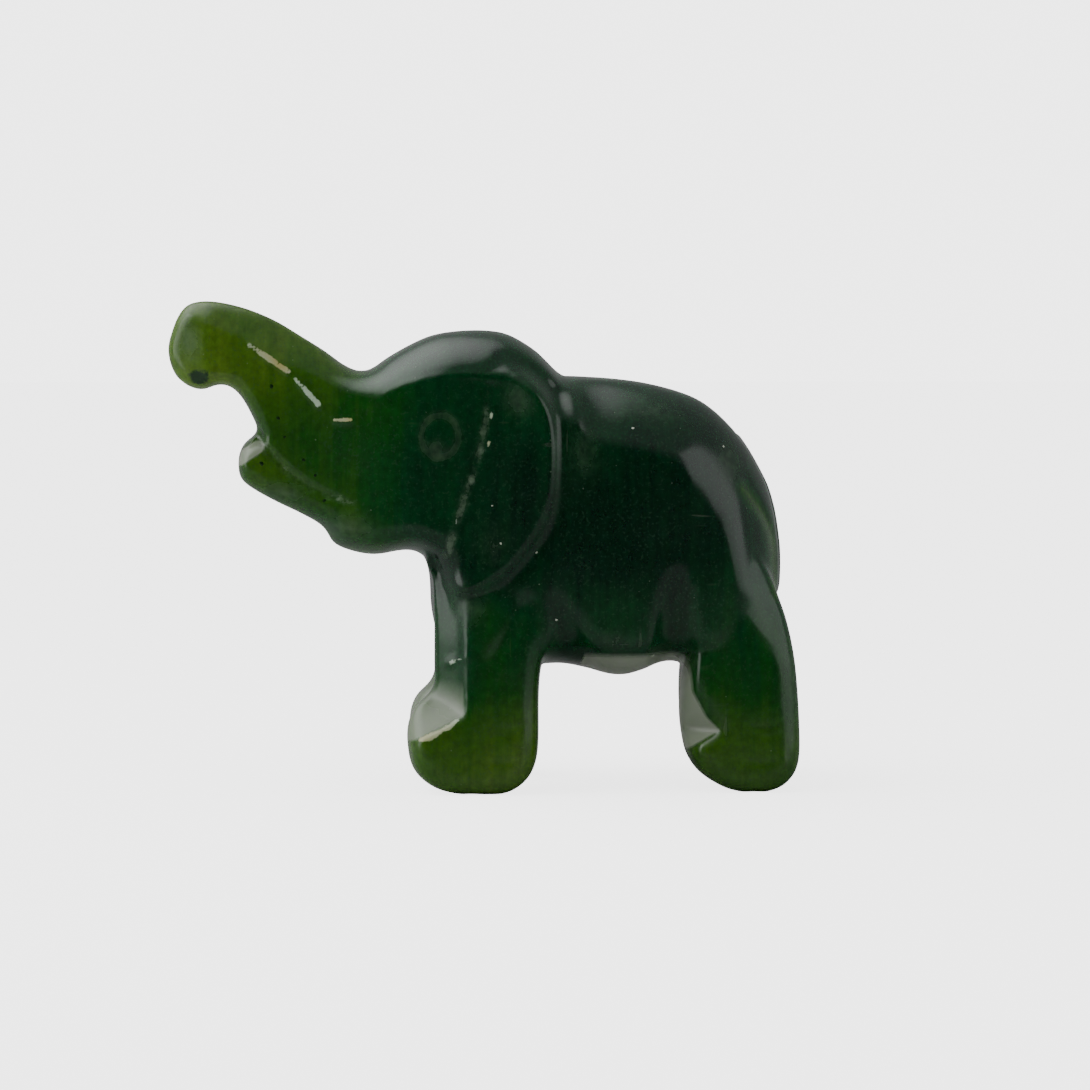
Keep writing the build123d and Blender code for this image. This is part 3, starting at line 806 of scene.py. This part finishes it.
# ---------------------------------------------------------------------------------------
# Dark grains: small irregular crystals of black chromite that grew in the jade. They are
# harder than it, so the polish leaves each of them a hair proud of the surface.
# ---------------------------------------------------------------------------------------
GRAIN_SUNK = 0.36  # share of its radius that a grain's middle lies under the skin
GRAIN_FLAT = 0.42  # its thickness as a share of its width
LEFT_OUTSIDE = -30.0  # a place along Y well outside the left flank


def crystals(name, places, seed):
    """Irregular flattened grains sunk in the left flank; place, height and radius in mm."""
    chance = random.Random(seed)
    body = bmesh.new()
    for x, z, radius in places:
        from_left = Vector((x, LEFT_OUTSIDE, z))
        place, outward, _, _ = flank_tree.ray_cast(from_left, Vector((0, 1, 0)))
        seat = outward.to_track_quat("Z", "Y").to_matrix().to_4x4()
        seat.translation = place - outward * radius * GRAIN_SUNK
        made = bmesh.ops.create_icosphere(body, subdivisions=3, radius=radius)
        turn = chance.uniform(0, math.tau)
        for v in made["verts"]:
            angle = math.atan2(v.co.y, v.co.x) + turn
            lumpy = 1 + 0.16 * math.cos(2 * angle) + 0.1 * math.cos(3 * angle + turn)
            v.co = Vector((v.co.x * lumpy, v.co.y * lumpy, v.co.z * GRAIN_FLAT))
        bmesh.ops.transform(body, matrix=seat, verts=made["verts"])
    bmesh.ops.scale(body, verts=body.verts, vec=(MM, MM, MM))
    grains = as_object(body, name)
    grains.data.shade_smooth()
    return grains


DARK_PLACES = [
    (-16.5, 32.0, 0.3), (-16.0, 29.5, 0.28), (-15.5, 28.0, 0.2), (-17.3, 25.9, 0.32),
    (-14.0, 26.2, 0.25), (-13.1, 25.0, 0.22), (-12.4, 23.0, 0.27),
]
chromite = crystals("chromite_grains", DARK_PLACES, 4)
CHROMITE_DARK = (0.002, 0.012, 0.003, 1)
CHROMITE_LIGHT = (0.008, 0.032, 0.006, 1)
black, tree, shader, where = new_material("black_chromite")
mixed = spread_range(tree, noise(tree, where, 6000.0, 3.0), 0.35, 0.65)
tree.links.new(blend(tree, mixed, CHROMITE_DARK, CHROMITE_LIGHT), shader.inputs["Base Color"])
give_wear(tree, shader, where, 0.4, 0.1, Wave=0.6, Pits=0.5, Scratches=0.4)
shader.inputs["Roughness"].default_value = 0.2
shader.inputs["Specular IOR Level"].default_value = 0.25
shader.inputs["IOR"].default_value = 1.6
chromite.data.materials.append(black)
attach(chromite, "root")
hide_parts("dark_grains")

# ---------------------------------------------------------------------------------------
# Pale flecks: specks of whitish talc in the jade. They are soft and chalky, so they stay
# matt where the stone around them takes a shine.
# ---------------------------------------------------------------------------------------
PALE_PLACES = [
    (11.7, 28.75, 0.2), (19.1, 27.25, 0.2), (1.3, 19.75, 0.17), (4.15, 19.0, 0.16),
    (0.65, 22.7, 0.13), (5.7, 13.7, 0.16), (13.4, 10.75, 0.3),
]
talc = crystals("talc_flecks", PALE_PLACES, 9)
TALC_DARK = (0.34, 0.42, 0.3, 1)
TALC_LIGHT = (0.62, 0.66, 0.56, 1)
chalky, tree, shader, where = new_material("pale_talc")
mixed = spread_range(tree, noise(tree, where, 5000.0, 4.0), 0.35, 0.65)
tree.links.new(blend(tree, mixed, TALC_DARK, TALC_LIGHT), shader.inputs["Base Color"])
give_wear(tree, shader, where, 0.6, 0.15, Wave=1.2, Pits=1.0, Scratches=0.3)
shader.inputs["Roughness"].default_value = 0.55
talc.data.materials.append(chalky)
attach(talc, "root")
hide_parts("pale_flecks")

# ---------------------------------------------------------------------------------------
# Floor, light and camera. A pale matt board, soft lights, and a lens level with the body.
# ---------------------------------------------------------------------------------------
BOARD_FRONT = -0.15  # the board stops short of the lens
BOARD_HALF = 1.5
BOARD_WHITE = 3.05
BOARD_PAINT = (0.7, 0.7, 0.7, 1)
BOARD_MIRRORED = (0.02, 0.02, 0.02, 1)
floor_mesh = bmesh.new()
bmesh.ops.create_grid(floor_mesh, x_segments=1, y_segments=1, size=BOARD_HALF)
bmesh.ops.translate(floor_mesh, verts=floor_mesh.verts, vec=(0, BOARD_HALF + BOARD_FRONT, 0))
board = as_object(floor_mesh, "floor")
board_paint = bpy.data.materials.new("pale_board")
board_paint.use_nodes = True
tree = board_paint.node_tree
shader = tree.nodes["Principled BSDF"]
shader.inputs["Roughness"].default_value = 0.9
shader.inputs["Emission Color"].default_value = (1, 1, 1, 1)
# The board looks evenly white to the lens and lights the stone as pale paint would, but it
# is dim in the mirror of the polished stone.
path = node(tree, "LightPath")
whiter = sums(tree, "MULTIPLY", path.outputs["Is Camera Ray"], BOARD_WHITE)
tree.links.new(whiter, shader.inputs["Emission Strength"])
mirrored = sums(tree, "MULTIPLY", path.outputs["Is Glossy Ray"], 0.7)
tree.links.new(blend(tree, mirrored, BOARD_PAINT, BOARD_MIRRORED), shader.inputs["Base Color"])
board.data.materials.append(board_paint)

AIM = Vector((5.5, 0.0, 19.13)) * MM
CAMERA_AZIMUTH = math.radians(-4.5)
CAMERA_HEIGHT = math.radians(3.0)
CAMERA_DISTANCE = 320 * MM
VIEW_WIDTH = 87.9 * MM  # what the picture spans at the aim point
look = Vector((
    math.sin(-CAMERA_AZIMUTH) * math.cos(CAMERA_HEIGHT),
    math.cos(CAMERA_AZIMUTH) * math.cos(CAMERA_HEIGHT),
    -math.sin(CAMERA_HEIGHT),
))
SENSOR_WIDTH = 36.0
camera_data = bpy.data.cameras.new("camera")
camera_data.sensor_width = SENSOR_WIDTH
camera_data.lens = SENSOR_WIDTH * CAMERA_DISTANCE / VIEW_WIDTH
camera_data.clip_start = 0.01
camera = bpy.data.objects.new("camera", camera_data)
camera.location = AIM - look * CAMERA_DISTANCE
camera.rotation_euler = look.to_track_quat("-Z", "Y").to_euler()
bpy.context.scene.collection.objects.link(camera)
bpy.context.scene.camera = camera

# A wide bright ceiling, dim walls, and darkness round the lens.
CEILING_LIGHT = 3.0
CEILING_WAY = Vector((-0.6, 0.2, 1.0)).normalized()  # towards the middle of the ceiling
WALL_LIGHT = 0.3
BACKDROP_WHITE = (3.9, 3.9, 3.9, 1)
LENS_DROP = Vector((0.0, 0.0, 0.8))  # the dark opening lies this far below the lens
LENS_LIGHT = 0.03
world = bpy.data.worlds.new("studio")
bpy.context.scene.world = world
world.use_nodes = True
tree = world.node_tree
background = tree.nodes["Background"]
way = node(tree, "TexCoord").outputs["Generated"]
overhead = node(tree, "VectorMath", {0: way, 1: CEILING_WAY}, operation="DOT_PRODUCT")
ceiling = spread_range(tree, overhead.outputs["Value"], 0.66, 0.98, WALL_LIGHT, CEILING_LIGHT)
to_lens = node(tree, "VectorMath", {0: way, 1: -look - LENS_DROP}, operation="DOT_PRODUCT")
opening = spread_range(tree, to_lens.outputs["Value"], 0.3, 0.6, 1.0, LENS_LIGHT)
tent = grey(tree, sums(tree, "MULTIPLY", ceiling, opening))
seen = node(tree, "LightPath").outputs["Is Camera Ray"]
tree.links.new(blend(tree, seen, tent, BACKDROP_WHITE), background.inputs["Color"])
background.inputs["Strength"].default_value = 1.0


def panel(name, place, wide, high, level):
    """A flat soft light turned to the middle of the figure; level is how bright it looks."""
    data = bpy.data.lights.new(name, "AREA")
    data.shape = "RECTANGLE"
    data.size = wide
    data.size_y = high
    data.energy = level * math.pi * wide * high
    lamp = bpy.data.objects.new(name, data)
    lamp.location = place
    lamp.rotation_euler = (FIGURE_MIDDLE - Vector(place)).to_track_quat("-Z", "Y").to_euler()
    bpy.context.scene.collection.objects.link(lamp)


FIGURE_MIDDLE = Vector((0.0, 0.0, 0.018))
panel("left_panel", (-0.17, -0.03, 0.082), 0.12, 0.16, 1.9)
panel("right_panel", (0.32, -0.19, 0.13), 0.34, 0.26, 1.1)
